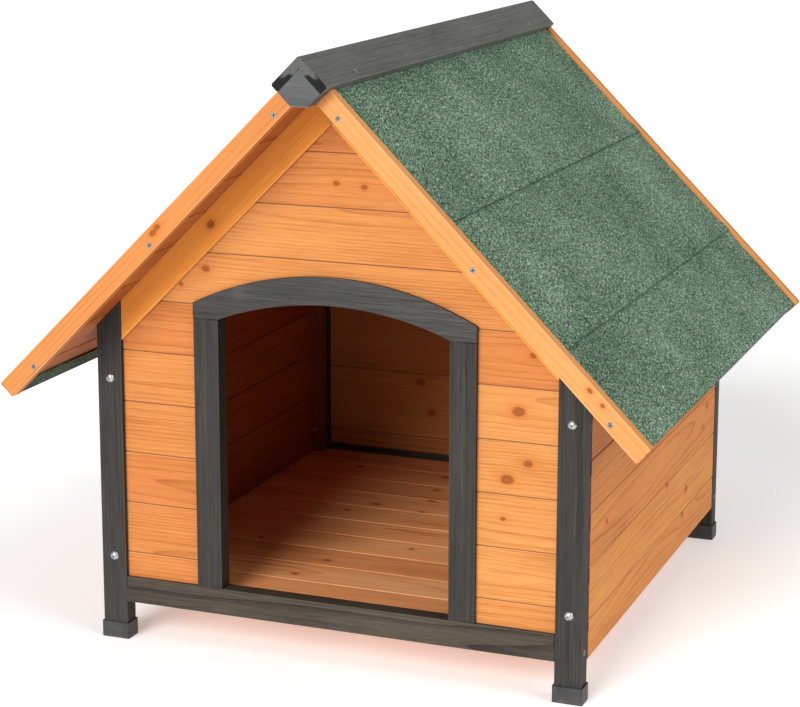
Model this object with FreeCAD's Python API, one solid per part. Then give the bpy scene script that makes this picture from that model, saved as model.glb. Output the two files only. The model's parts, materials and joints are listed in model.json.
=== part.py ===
import FreeCAD, Part
import math
import os

# Timber dog house with a saddle roof, doorway in the front gable.
# Millimetres. +Z is up, the doorway looks along -Y, X runs from left to right.
# The feet stand on Z = 0 and the overall box is centred on X = 0 and Y = 0.

# ---------------------------------------------------------------- sizes
# House frame
HOUSE_WIDTH = 676.0          # outside to outside of the corner posts
HOUSE_DEPTH = 728.0          # front face of front posts to back face of rear posts
POST_WIDTH = 36.0            # along X
POST_DEPTH = 24.0            # along Y
WALL_HEIGHT = 434.25         # outer top edge of the posts, under the roof deck
RAIL_BOTTOM = 53.0           # underside of the bottom rails
RAIL_HEIGHT = 36.0

# Roof
PITCH = 45.0                 # degrees
EAVE_OVERHANG = 99.0         # level distance from the outer post face to the eave
FRONT_OVERHANG = 77.0        # front post face to front barge board face
REAR_OVERHANG = 87.0         # rear post face to rear barge board face
FELT_THICKNESS = 2.5
FELT_END_SETBACK = 2.0       # felt edge behind the end of the barge boards
FELT_SEAM_UPPER = 257.0      # distance of the seams from the ridge, down the slope
FELT_SEAM_LOWER = 463.0
FELT_LAP = 14.0              # how far an upper strip lies over the next one
FELT_RAMP = 6.0              # length over which it climbs onto it
FELT_RETURN = 36.0           # strip folded under the eave
DECK_THICKNESS = 15.0
DECK_PITCH = 70.0            # cover width of one deck board

# Barge boards, ridge boards and their end blocks
BARGE_WIDTH = 25.0
BARGE_THICKNESS = 15.0
BARGE_STAND = 5.0            # how far a barge board stands above the felt
BARGE_CORNER = 3.0           # rounding of its lower end
RIDGE_THICKNESS = 12.0
RIDGE_COVER = 40.0           # width of felt covered on each slope
RIDGE_OVERHANG = 20.0        # ridge boards past the front barge boards
BLOCK_DROP = 24.0            # depth of the end block below the felt plane
RAFTER_WIDTH = 38.0
RAFTER_SETBACK = 1.5         # rafter face behind the post face

# Door frame, same timber as the posts
DOOR_WIDTH = 319.0           # clear width between the jambs
JAMB_WIDTH = 36.0
HEADER_CLEARANCE = 46.5      # plumb distance from the header's ends up to the rafters
HEADER_END_HEIGHT = 20.5     # square ends of the header
ARCH_INNER_RISE = 30.5       # crown of its underside above the tops of the jambs
ARCH_OUTER_RISE = 47.0       # crown of its top above the square ends
HEADER_JOINT_DROP = 4.0      # nearest board joint below the top of the square ends

# Boards
BOARD_THICKNESS = 12.0
BOARD_CHAMFER = 1.5
BOARD_GAP = 0.3              # between one board and the next
BOARD_LEAST = 15.0           # no board is ripped narrower than this
TONGUE_THICKNESS = 4.0
TONGUE_HEIGHT = 6.0
TONGUE_SLACK = 0.4           # all round the tongue in its groove
FRONT_SETBACK = 6.5          # cladding face behind the post face, front and rear
FRONT_PITCH = 70.0
REAR_FIRST_COVER = 24.5      # lowest joint of the rear boards above the rail
REAR_PITCH = 105.0
SIDE_SETBACK = 1.0           # side board face inside the post face
SIDE_DROP = 3.0              # side boards below the underside of the rails
SIDE_FIRST_COVER = 52.0      # height of the lowest side board
SIDE_PITCH = 70.0
SIDE_FRONT_GAP = 7.0         # open joint between front post and side boards
HOUSING_DEPTH = 5.0          # groove in the frame that takes the cladding
HOUSING_SLACK = 0.3          # at each face and at the bottom of that groove

# Corner battens, ledgers and floor
BATTEN = 18.0                # square section of the inner battens
FLOOR_BELOW_RAIL = 9.0       # top of the floor below the top of the rails
FLOOR_THICKNESS = 12.0
FLOOR_BOARDS = 10
FLOOR_SIDE_GAP = 2.0
FLOOR_END_GAP = 2.5
FLOOR_BATTEN_WIDTH = 36.0
FLOOR_BATTEN_X = 200.0       # distance of the outer floor battens from the middle
LEDGER_GAP = 0.2             # between the ledgers and the loose floor
ROOF_BATTEN_START = 60.0     # inner roof battens, measured down the slope
ROOF_BATTEN_EAVE_GAP = 54.5  # level distance from their lower ends to the side boards
ROOF_BATTEN_GAP = 1.0        # between a corner batten and the roof batten behind it

# Foot caps
CAP_HEIGHT = 22.0
CAP_BASE = 3.0
CAP_WALL = 1.9
CAP_CORNER = 2.0
CAP_SLACK = 0.2

# Fasteners
FIT_SLACK = 0.1              # radial room round a shank in its hole
BOLT_ABOVE_RAIL = 27.0       # lower bolts above the top of the rails
BOLT_BELOW_TOP = 70.75       # upper bolts below the outer top edge of the posts
BOLT_HEAD_RADIUS = 6.0
BOLT_HEAD_HEIGHT = 3.2
BOLT_RADIUS = 2.5
BOLT_TAIL = 3.0              # thread past the nut
NUT_SIDES = 6
NUT_RADIUS = 4.6             # over its corners
NUT_HEIGHT = 4.0
NUT_GAP = 0.4                # between the nuts and the side boards
SCREW_RADIUS = 1.8
SCREW_HEAD_RADIUS = 3.8
SCREW_HEAD_HEIGHT = 2.4
BARGE_SCREW_START = 72.0     # first barge board screw from the ridge line, down the slope
BARGE_SCREW_END = 55.0       # last one from the lower end of the board
BARGE_SCREW_N = 12.0         # depth of all of them below the felt plane
BARGE_SCREW_LENGTH = 40.0
ROOF_SCREW_RISE = 27.0       # roof screws above the lower felt seam, up the slope
ROOF_SCREW_INSET = 15.0      # from the outer faces of the posts
ROOF_SCREW_TIP_GAP = 5.5     # from their tips to the groove in the rafters
RIDGE_SCREW_INSET = 11.5     # from the lower edge of the ridge boards
RIDGE_SCREW_TIP_GAP = 4.5    # from their tips to the middle plane, along the slope
RAIL_SCREW_RISE = 13.0       # above the underside of the rails
RAIL_SCREW_LENGTH = 60.0
RECESS_WIDTH = 0.9           # arms of the cross recess
RECESS_DEPTH = 1.2
RECESS_REACH = 0.6           # length of an arm as a share of the head's radius

MITRE_GAP = 0.15             # each side of the middle plane at the ridge
JOINT_GAP = 0.3              # between butted ends of timber

# ---------------------------------------------------------------- derived
TAN = math.tan(math.radians(PITCH))
SIN = math.sin(math.radians(PITCH))
COS = math.cos(math.radians(PITCH))

ROOF_LENGTH = FRONT_OVERHANG + HOUSE_DEPTH + REAR_OVERHANG
OVERALL_LENGTH = ROOF_LENGTH + RIDGE_OVERHANG
RIDGE_FRONT = -OVERALL_LENGTH / 2
BARGE_FRONT = RIDGE_FRONT + RIDGE_OVERHANG
FRONT = BARGE_FRONT + FRONT_OVERHANG         # outer face of the front posts
REAR = FRONT + HOUSE_DEPTH                   # outer face of the rear posts
BARGE_REAR = REAR + REAR_OVERHANG

HALF = HOUSE_WIDTH / 2
POST_INNER = HALF - POST_WIDTH
RAIL_TOP = RAIL_BOTTOM + RAIL_HEIGHT
DECK_UNDER_N = FELT_THICKNESS + DECK_THICKNESS       # depths below the felt plane
RAFTER_UNDER_N = DECK_UNDER_N + RAFTER_WIDTH
ROOF_APEX = WALL_HEIGHT + HALF * TAN + DECK_UNDER_N / COS    # where the felt planes meet
SLOPE_LENGTH = (HALF + EAVE_OVERHANG) / COS          # ridge line to the end of the barge boards
FELT_END = SLOPE_LENGTH - FELT_END_SETBACK

DOOR_HALF = DOOR_WIDTH / 2
FRAME_HALF = DOOR_HALF + JAMB_WIDTH
RAFTER_OVER_DOOR = ROOF_APEX - FRAME_HALF * TAN - RAFTER_UNDER_N / COS
HEADER_END_TOP = RAFTER_OVER_DOOR - HEADER_CLEARANCE
JAMB_TOP = HEADER_END_TOP - HEADER_END_HEIGHT
ARCH_INNER_TOP = JAMB_TOP + ARCH_INNER_RISE
ARCH_OUTER_TOP = HEADER_END_TOP + ARCH_OUTER_RISE
HEADER_JOINT = HEADER_END_TOP - HEADER_JOINT_DROP

SIDE_BOTTOM = RAIL_BOTTOM - SIDE_DROP
SIDE_OUTER = HALF - SIDE_SETBACK
SIDE_INNER = SIDE_OUTER - BOARD_THICKNESS
FLOOR_TOP = RAIL_TOP - FLOOR_BELOW_RAIL
FLOOR_UNDER = FLOOR_TOP - FLOOR_THICKNESS
ROOF_BATTEN_END = (SIDE_INNER - ROOF_BATTEN_EAVE_GAP + DECK_UNDER_N * SIN) / COS

BOLT_X = SIDE_INNER - NUT_GAP - NUT_RADIUS
BOLT_HEIGHTS = (RAIL_TOP + BOLT_ABOVE_RAIL, WALL_HEIGHT - BOLT_BELOW_TOP)
BARGE_SCREW_LAST = SLOPE_LENGTH - BARGE_SCREW_END
BARGE_SCREW_MIDDLE = (BARGE_SCREW_START + BARGE_SCREW_LAST) / 2
BARGE_SCREW_S = (BARGE_SCREW_START, BARGE_SCREW_MIDDLE, BARGE_SCREW_LAST)
ROOF_SCREW_S = FELT_SEAM_LOWER - ROOF_SCREW_RISE
ROOF_SCREW_LENGTH = RAFTER_UNDER_N - HOUSING_DEPTH - ROOF_SCREW_TIP_GAP
RIDGE_SCREW_S = RIDGE_COVER - RIDGE_SCREW_INSET
RIDGE_SCREW_LENGTH = RIDGE_THICKNESS + RIDGE_SCREW_S - RIDGE_SCREW_TIP_GAP
RAIL_SCREW_HEIGHT = RAIL_BOTTOM + RAIL_SCREW_RISE
HUGE = 2000.0                # reaches past the whole house from any point of it


# ---------------------------------------------------------------- helpers
def box(x0, x1, y0, y1, z0, z1):
    corner = FreeCAD.Vector(x0, y0, z0)
    return Part.makeBox(x1 - x0, y1 - y0, z1 - z0, corner)


def extrude(points, direction):
    ring = [FreeCAD.Vector(*p) for p in points]
    face = Part.Face(Part.makePolygon(ring + ring[:1]))
    return face.extrude(FreeCAD.Vector(*direction))


def prism_y(outline, y0, y1):
    """Solid with a constant (x, z) outline between two Y planes."""
    return extrude([(x, y0, z) for x, z in outline], (0, y1 - y0, 0))


def slope_point(s, n):
    """Right slope: s down the slope from the ridge line, n below the felt plane."""
    return (s * COS - n * SIN, ROOF_APEX - s * SIN - n * COS)


def slope_prism(outline, y0, y1):
    """Solid on the right slope with a constant (s, n) outline."""
    return prism_y([slope_point(s, n) for s, n in outline], y0, y1)


def slope_bar(s0, s1, n0, n1, y0, y1):
    return slope_prism([(s0, n0), (s1, n0), (s1, n1), (s0, n1)], y0, y1)


def roof_height(x, n):
    """Height over x of the plane that lies n below the felt plane."""
    return ROOF_APEX - abs(x) * TAN - n / COS


def under_roof(n):
    """Everything below both planes that lie n under the felt."""
    eave = roof_height(HUGE, n)
    low = eave - HUGE
    outline = [(-HUGE, low), (HUGE, low), (HUGE, eave)]
    outline += [(0, roof_height(0, n)), (-HUGE, eave)]
    return prism_y(outline, -HUGE, HUGE)


def right_half(shape):
    """The part of a shape to the right of the mitre at the middle plane."""
    return shape.common(box(MITRE_GAP, HUGE, -HUGE, HUGE, -HUGE, HUGE))


def mirrored_x(shape):
    return shape.mirror(FreeCAD.Vector(0, 0, 0), FreeCAD.Vector(1, 0, 0))


def group(shapes):
    solids = [solid for shape in shapes for solid in shape.Solids]
    return Part.makeCompound(solids)


def cut_all(shape, tools):
    """Cut only the tools that reach the shape."""
    near = [t for t in tools if t.BoundBox.intersect(shape.BoundBox)]
    return shape.cut(Part.makeCompound(near)) if near else shape


def drilled(shape, holes):
    cut = [cut_all(solid, holes) for solid in shape.Solids]
    return group(cut) if len(cut) > 1 else cut[0]


# ---------------------------------------------------------------- boards
def board_outline(low, high, tongue=True, groove=True):
    """Tongue-and-groove section: (t from the outer face, height across the board)."""
    t = BOARD_THICKNESS
    c = BOARD_CHAMFER
    top = high - BOARD_GAP
    mid = t / 2
    outline = [(0, low + c), (c, low)]
    if groove:
        half = TONGUE_THICKNESS / 2 + TONGUE_SLACK
        roof = low + TONGUE_HEIGHT + TONGUE_SLACK
        outline += [(mid - half, low), (mid - half, roof), (mid + half, roof), (mid + half, low)]
    outline += [(t - c, low), (t, low + c), (t, top - c), (t - c, top)]
    if tongue:
        half = TONGUE_THICKNESS / 2
        tip = top + TONGUE_HEIGHT
        outline += [(mid + half, top), (mid + half, tip), (mid - half, tip), (mid - half, top)]
    outline += [(c, top), (0, top - c)]
    return outline


def board_rows(bottom, first_joint, pitch, top):
    """Lower and upper edge of every board between two heights."""
    rows = [(bottom, first_joint)]
    while rows[-1][1] + pitch + BOARD_LEAST < top:
        rows.append((rows[-1][1], rows[-1][1] + pitch))
    rows.append((rows[-1][1], top))
    return rows


def lowest_joint(joint, pitch, bottom):
    """Lowest joint of boards that have a joint at a given height above the bottom."""
    below = int((joint - bottom - BOARD_LEAST) // pitch)
    return joint - below * pitch


def gable_board(low, high, face, inward, first, last):
    """A board along X; inward is +1 or -1, the way from its face into the house."""
    length = 2 * (POST_INNER + HOUSING_DEPTH - HOUSING_SLACK)
    outline = board_outline(low, high, tongue=not last, groove=not first)
    ring = [(-length / 2, face + inward * t, z) for t, z in outline]
    return extrude(ring, (length, 0, 0))


def gable_boards(face, inward, first_joint, pitch):
    """All boards of one gable wall, cut to the rafters."""
    reach = HOUSING_DEPTH - HOUSING_SLACK
    bottom = RAIL_TOP - reach
    limit = RAFTER_UNDER_N - reach
    rows = board_rows(bottom, first_joint, pitch, roof_height(0, limit))
    slope = under_roof(limit)
    last = len(rows) - 1
    boards = []
    for i, (low, high) in enumerate(rows):
        board = gable_board(low, high, face, inward, i == 0, i == last)
        boards.append(board.common(slope))
    return rows, boards


def side_boards():
    """Boards of the right wall, from the front post gap to the rear posts."""
    top = roof_height(SIDE_INNER, DECK_UNDER_N) + JOINT_GAP
    y0 = FRONT + POST_DEPTH + SIDE_FRONT_GAP
    y1 = REAR - POST_DEPTH - JOINT_GAP
    rows = board_rows(SIDE_BOTTOM, SIDE_BOTTOM + SIDE_FIRST_COVER, SIDE_PITCH, top)
    slope = under_roof(DECK_UNDER_N + JOINT_GAP)
    last = len(rows) - 1
    boards = []
    for i, (low, high) in enumerate(rows):
        outline = board_outline(low, high, tongue=i < last, groove=i > 0)
        ring = [(SIDE_OUTER - t, y0, z) for t, z in outline]
        boards.append(extrude(ring, (0, y1 - y0, 0)).common(slope))
    return boards


def deck_boards():
    """Deck boards of the right slope; the board at the ridge is ripped to fit."""
    y0 = BARGE_FRONT + BARGE_THICKNESS
    y1 = BARGE_REAR - BARGE_THICKNESS
    eave = FELT_END - FELT_THICKNESS - JOINT_GAP
    full = int((eave - BOARD_LEAST) // DECK_PITCH)
    boards = []
    for i in range(full + 1):
        last = i == full
        low = eave - i * DECK_PITCH
        high = 0.0 if last else low - DECK_PITCH
        boards.append(deck_board(low, high, i, last, y0, y1))
    return boards


def deck_board(low, high, index, last, y0, y1):
    """One deck board; low is its eave edge and high its ridge edge down the slope."""
    outline = board_outline(0.0, low - high, tongue=not last, groove=index > 0)
    stretch = DECK_THICKNESS / BOARD_THICKNESS
    ring = [(low - h, DECK_UNDER_N - t * stretch) for t, h in outline]
    return right_half(slope_prism(ring, y0, y1))


# ---------------------------------------------------------------- door frame
def arc_through(half_width, end_z, crown_z):
    """Arc over the doorway through both ends and the crown."""
    left = FreeCAD.Vector(-half_width, 0, end_z)
    crown = FreeCAD.Vector(0, 0, crown_z)
    right = FreeCAD.Vector(half_width, 0, end_z)
    return Part.Arc(left, crown, right).toShape()


def line(x0, z0, x1, z1):
    return Part.makeLine(FreeCAD.Vector(x0, 0, z0), FreeCAD.Vector(x1, 0, z1))


def door_header():
    """Arched plank that stands on both jambs."""
    outer = arc_through(FRAME_HALF, HEADER_END_TOP, ARCH_OUTER_TOP)
    inner = arc_through(DOOR_HALF, JAMB_TOP, ARCH_INNER_TOP)
    edges = [outer, line(FRAME_HALF, HEADER_END_TOP, FRAME_HALF, JAMB_TOP)]
    edges += [line(FRAME_HALF, JAMB_TOP, DOOR_HALF, JAMB_TOP), inner]
    edges += [line(-DOOR_HALF, JAMB_TOP, -FRAME_HALF, JAMB_TOP)]
    edges += [line(-FRAME_HALF, JAMB_TOP, -FRAME_HALF, HEADER_END_TOP)]
    wire = Part.Wire(Part.__sortEdges__(edges))
    header = Part.Face(wire).extrude(FreeCAD.Vector(0, POST_DEPTH, 0))
    header.translate(FreeCAD.Vector(0, FRONT, 0))
    return header


def door_clearance(inset):
    """Room for the door frame in the boards, inset from the frame's outline."""
    half = FRAME_HALF - inset
    end = HEADER_END_TOP - inset
    arc = arc_through(half, end, ARCH_OUTER_TOP - inset)
    edges = [arc, line(half, end, half, -HUGE), line(half, -HUGE, -half, -HUGE)]
    edges += [line(-half, -HUGE, -half, end)]
    wire = Part.Wire(Part.__sortEdges__(edges))
    tool = Part.Face(wire).extrude(FreeCAD.Vector(0, HOUSE_DEPTH / 2, 0))
    tool.translate(FreeCAD.Vector(0, FRONT - POST_DEPTH, 0))
    return tool


def front_cladding(rows, boards):
    """Front boards beside and above the door frame: left, right and over it."""
    inset = HOUSING_DEPTH - HOUSING_SLACK
    arch = door_clearance(inset)
    half = FRAME_HALF - inset
    column = box(-half, half, -HUGE, HUGE, -HUGE, HUGE)
    left, right, above = [], [], []
    for (low, high), board in zip(rows, boards):
        if high <= HEADER_END_TOP:
            strips = board.cut(column).Solids
            left += [s for s in strips if s.CenterOfMass.x < 0]
            right += [s for s in strips if s.CenterOfMass.x > 0]
        else:
            above.append(board.cut(arch))
    return left, right, above


def housing(setback, inward, with_door):
    """Tool that cuts the groove for the cladding into the frame around it."""
    depth = HOUSING_DEPTH
    half = POST_INNER + depth
    limit = RAFTER_UNDER_N - depth
    low = RAIL_TOP - depth
    outline = [(-half, low), (half, low), (half, roof_height(half, limit))]
    outline += [(0, roof_height(0, limit)), (-half, roof_height(half, limit))]
    near = setback - inward * HOUSING_SLACK
    far = setback + inward * (BOARD_THICKNESS + HOUSING_SLACK)
    tool = prism_y(outline, min(near, far), max(near, far))
    return tool.cut(door_clearance(depth)) if with_door else tool


# ---------------------------------------------------------------- frame
def post(face, inward):
    """Right-hand corner post; its top follows the underside of the roof."""
    y0, y1 = sorted((face, face + inward * POST_DEPTH))
    blank = box(POST_INNER, HALF, y0, y1, CAP_BASE, ROOF_APEX)
    return blank.common(under_roof(DECK_UNDER_N))


def bottom_rail(face, inward):
    y0, y1 = sorted((face, face + inward * POST_DEPTH))
    return box(-POST_INNER, POST_INNER, y0, y1, RAIL_BOTTOM, RAIL_TOP)


def jamb():
    """Right-hand jamb, standing on the front rail."""
    return box(DOOR_HALF, FRAME_HALF, FRONT, FRONT + POST_DEPTH, RAIL_TOP, JAMB_TOP)


def rafter(face, inward):
    """Right-hand gable rafter, plumb cut at the post and at the ridge."""
    near = face + inward * RAFTER_SETBACK
    far = face + inward * POST_DEPTH
    y0, y1 = sorted((near, far))
    blank = slope_bar(-HALF, SLOPE_LENGTH, DECK_UNDER_N, RAFTER_UNDER_N, y0, y1)
    return blank.common(box(MITRE_GAP, POST_INNER, y0, y1, 0, ROOF_APEX))


def corner_batten(end, inward):
    """Right-hand upright batten behind a post, inside the side boards."""
    start = end + inward * POST_DEPTH
    y0, y1 = sorted((start, start + inward * BATTEN))
    blank = box(SIDE_INNER - BATTEN, SIDE_INNER, y0, y1, SIDE_BOTTOM, ROOF_APEX)
    return blank.common(under_roof(DECK_UNDER_N))


def ledger():
    """Right-hand ledger under the floor, between the corner battens."""
    y0 = FRONT + POST_DEPTH + BATTEN
    y1 = REAR - POST_DEPTH - BATTEN
    top = FLOOR_UNDER - LEDGER_GAP
    return box(SIDE_INNER - BATTEN, SIDE_INNER, y0, y1, top - BATTEN, top)


def roof_batten(end, inward):
    """Right-hand batten under the deck, just inside a corner batten."""
    start = end + inward * (POST_DEPTH + BATTEN + ROOF_BATTEN_GAP)
    y0, y1 = sorted((start, start + inward * BATTEN))
    under = DECK_UNDER_N + BATTEN
    return slope_bar(ROOF_BATTEN_START, ROOF_BATTEN_END, DECK_UNDER_N, under, y0, y1)


# ---------------------------------------------------------------- floor
def floor_corner(end, inward):
    """Right-hand corner cut out of the floor for the batten, nut and bolt end."""
    room = BATTEN + NUT_HEIGHT + BOLT_TAIL + FLOOR_END_GAP
    start = end + inward * POST_DEPTH
    y0, y1 = sorted((start - inward * HALF, start + inward * room))
    x0 = SIDE_INNER - BATTEN - FLOOR_SIDE_GAP
    return box(x0, HALF, y0, y1, 0, ROOF_APEX)


def floor_boards():
    """Loose floor panel: boards from side to side with the corners cut out."""
    half = SIDE_INNER - FLOOR_SIDE_GAP
    y0 = FRONT + POST_DEPTH + FLOOR_END_GAP
    y1 = REAR - POST_DEPTH - FLOOR_END_GAP
    pitch = (y1 - y0) / FLOOR_BOARDS
    corners = [floor_corner(FRONT, 1), floor_corner(REAR, -1)]
    corners += [mirrored_x(c) for c in corners]
    boards = []
    for i in range(FLOOR_BOARDS):
        low = y0 + i * pitch
        last = i == FLOOR_BOARDS - 1
        outline = board_outline(low, low + pitch, tongue=not last, groove=i > 0)
        stretch = FLOOR_THICKNESS / BOARD_THICKNESS
        ring = [(-half, y, FLOOR_TOP - t * stretch) for t, y in outline]
        boards.append(cut_all(extrude(ring, (2 * half, 0, 0)), corners))
    return boards


def floor_battens():
    y0 = FRONT + POST_DEPTH + BATTEN
    y1 = REAR - POST_DEPTH - BATTEN
    half = FLOOR_BATTEN_WIDTH / 2
    low = FLOOR_UNDER - BATTEN
    places = (-FLOOR_BATTEN_X, 0.0, FLOOR_BATTEN_X)
    return [box(x - half, x + half, y0, y1, low, FLOOR_UNDER) for x in places]


# ---------------------------------------------------------------- roof covering
def felt_strip(start, seam):
    """Felt strip on the right slope that laps over the strip below it."""
    t = FELT_THICKNESS
    lap = seam - FELT_LAP
    ramp = lap - FELT_RAMP
    top = [(start, 0), (ramp, 0), (lap, -t), (seam, -t)]
    under = [(seam, 0), (lap, 0), (ramp, t), (start, t)]
    y0 = BARGE_FRONT + BARGE_THICKNESS
    y1 = BARGE_REAR - BARGE_THICKNESS
    return right_half(slope_prism(top + under, y0, y1))


def felt_eave_strip(start):
    """Lowest felt strip, folded round the eave and back under it."""
    t = FELT_THICKNESS
    low = DECK_UNDER_N + t
    back = FELT_END - FELT_RETURN
    inner = FELT_END - t
    outline = [(start, 0), (FELT_END - t, 0), (FELT_END, t), (FELT_END, low - t)]
    outline += [(inner, low), (back, low), (back, DECK_UNDER_N), (inner, DECK_UNDER_N)]
    outline += [(inner, t), (start, t)]
    y0 = BARGE_FRONT + BARGE_THICKNESS
    y1 = BARGE_REAR - BARGE_THICKNESS
    return slope_prism(outline, y0, y1)


def barge_board(y0, y1):
    """Barge board on the right slope, from the ridge board to the eave."""
    start = RIDGE_COVER + JOINT_GAP
    top = -BARGE_STAND
    board = slope_bar(start, SLOPE_LENGTH, top, top + BARGE_WIDTH, y0, y1)
    ends = [slope_point(SLOPE_LENGTH, n) for n in (top, top + BARGE_WIDTH)]
    rounded = []
    for edge in board.Edges:
        centre = edge.CenterOfMass
        along_y = edge.BoundBox.YLength > BARGE_THICKNESS / 2
        distance = min(math.hypot(centre.x - x, centre.z - z) for x, z in ends)
        if along_y and distance < BARGE_CORNER:
            rounded.append(edge)
    return board.makeFillet(BARGE_CORNER, rounded)


def ridge_board():
    """Right-hand ridge board, mitred to the other one over the ridge."""
    outline = [(-HUGE, -RIDGE_THICKNESS), (RIDGE_COVER, -RIDGE_THICKNESS)]
    outline += [(RIDGE_COVER, 0), (-HUGE, 0)]
    return right_half(slope_prism(outline, RIDGE_FRONT, BARGE_REAR))


def ridge_block(y0, y1):
    """Block that fills the space between the barge boards under the ridge boards."""
    shoulder = slope_point(RIDGE_COVER, 0)
    foot = slope_point(RIDGE_COVER, BLOCK_DROP)
    outline = [(0, ROOF_APEX), shoulder, foot]
    outline += [(-foot[0], foot[1]), (-shoulder[0], shoulder[1])]
    return prism_y(outline, y0, y1)


# ---------------------------------------------------------------- feet
def foot_cap(face, inward):
    """Right-hand cap that slips over the bottom of a post."""
    grow = CAP_WALL + CAP_SLACK
    y0, y1 = sorted((face, face + inward * POST_DEPTH))
    shell = box(POST_INNER - grow, HALF + grow, y0 - grow, y1 + grow, 0, CAP_HEIGHT)
    uprights = [e for e in shell.Edges if e.BoundBox.ZLength > CAP_HEIGHT / 2]
    shell = shell.makeFillet(CAP_CORNER, uprights)
    room = CAP_SLACK
    pocket = box(POST_INNER - room, HALF + room, y0 - room, y1 + room, CAP_BASE, CAP_HEIGHT)
    return shell.cut(pocket)


# ---------------------------------------------------------------- fasteners
def place(shape, position, direction):
    """Turn a shape made along +Z so that +Z lies along a direction, then move it."""
    turn = FreeCAD.Rotation(FreeCAD.Vector(0, 0, 1), FreeCAD.Vector(*direction))
    shape.Placement = FreeCAD.Placement(FreeCAD.Vector(*position), turn)
    return shape


def cross_recess(radius, top):
    """Cross-shaped recess at the top of a head made along +Z."""
    reach = radius * RECESS_REACH
    half = RECESS_WIDTH / 2
    low = top - RECESS_DEPTH
    one = box(-reach, reach, -half, half, low, top + RECESS_DEPTH)
    other = box(-half, half, -reach, reach, low, top + RECESS_DEPTH)
    return one.fuse(other)


def dome(radius, height):
    """Spherical cap standing on Z = 0."""
    ball = (radius ** 2 + height ** 2) / (2 * height)
    sphere = Part.makeSphere(ball, FreeCAD.Vector(0, 0, height - ball))
    return sphere.common(Part.makeCylinder(radius, height))


def cylinder(radius, z0, z1):
    return Part.makeCylinder(radius, z1 - z0, FreeCAD.Vector(0, 0, z0))


def bolt(length):
    """Dome-headed bolt whose head sits on Z = 0 and whose shank points down."""
    head = dome(BOLT_HEAD_RADIUS, BOLT_HEAD_HEIGHT)
    head = head.cut(cross_recess(BOLT_HEAD_RADIUS, BOLT_HEAD_HEIGHT))
    return head.fuse(cylinder(BOLT_RADIUS, -length, 0))


def nut():
    """Hexagon nut standing on Z = 0."""
    corners = [2 * math.pi * i / NUT_SIDES for i in range(NUT_SIDES)]
    ring = [(NUT_RADIUS * math.cos(a), NUT_RADIUS * math.sin(a), 0) for a in corners]
    body = extrude(ring, (0, 0, NUT_HEIGHT))
    return body.cut(cylinder(BOLT_RADIUS + FIT_SLACK, 0, NUT_HEIGHT))


def screw(length):
    """Countersunk screw, head flush with Z = 0, shank pointing down."""
    cone = Part.makeCone(SCREW_RADIUS, SCREW_HEAD_RADIUS, SCREW_HEAD_HEIGHT)
    cone.translate(FreeCAD.Vector(0, 0, -SCREW_HEAD_HEIGHT))
    cone = cone.cut(cross_recess(SCREW_HEAD_RADIUS, 0))
    tip = cylinder(SCREW_RADIUS, -length, -SCREW_HEAD_HEIGHT)
    return cone.fuse(tip)


def screw_hole(length):
    """Room for a screw: countersink and clearance for the shank."""
    wide = SCREW_HEAD_RADIUS + FIT_SLACK
    narrow = SCREW_RADIUS + FIT_SLACK
    cone = Part.makeCone(narrow, wide, SCREW_HEAD_HEIGHT)
    cone.translate(FreeCAD.Vector(0, 0, -SCREW_HEAD_HEIGHT))
    mouth = cylinder(wide, 0, SCREW_HEAD_HEIGHT)
    shank = cylinder(narrow, -length - FIT_SLACK, -SCREW_HEAD_HEIGHT)
    return cone.fuse(mouth).fuse(shank)


def both_sides(shape):
    return [mirrored_x(shape), shape]


def bolt_length():
    return POST_DEPTH + BATTEN + NUT_HEIGHT + BOLT_TAIL


def post_bolts(face, outward):
    """Bolts of one gable wall, through the posts and the corner battens."""
    made = []
    for z in BOLT_HEIGHTS:
        made += both_sides(place(bolt(bolt_length()), (BOLT_X, face, z), (0, outward, 0)))
    return made


def post_nuts(face, outward):
    seat = face - outward * (POST_DEPTH + BATTEN)
    made = []
    for z in BOLT_HEIGHTS:
        made += both_sides(place(nut(), (BOLT_X, seat, z), (0, -outward, 0)))
    return made


def bolt_holes(face, outward):
    made = []
    for z in BOLT_HEIGHTS:
        tool = cylinder(BOLT_RADIUS + FIT_SLACK, -bolt_length(), BOLT_HEAD_HEIGHT)
        made += both_sides(place(tool, (BOLT_X, face, z), (0, outward, 0)))
    return made


def barge_screw_spots(face, outward):
    spots = []
    for s in BARGE_SCREW_S:
        x, z = slope_point(s, BARGE_SCREW_N)
        spots.append(((x, face, z), (0, outward, 0)))
    return spots


def slope_screw_spots(s, n):
    """Screws driven square to the right slope, over the front and rear rafters."""
    x, z = slope_point(s, n)
    rows = (FRONT + ROOF_SCREW_INSET, REAR - ROOF_SCREW_INSET)
    return [((x, y, z), (SIN, 0, COS)) for y in rows]


def rail_screw_spots():
    rows = (FRONT + POST_DEPTH / 2, REAR - POST_DEPTH / 2)
    return [((HALF, y, RAIL_SCREW_HEIGHT), (1, 0, 0)) for y in rows]


def screws_at(spots, length):
    made = []
    for position, direction in spots:
        made += both_sides(place(screw(length), position, direction))
    return made


def screw_holes_at(spots, length):
    made = []
    for position, direction in spots:
        made += both_sides(place(screw_hole(length), position, direction))
    return made


# ---------------------------------------------------------------- assembly
def add_pair(nodes, name, right):
    """Right-hand piece and its mirror image on the left."""
    nodes[name + "_right"] = right
    nodes[name + "_left"] = mirrored_x(right)


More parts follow.
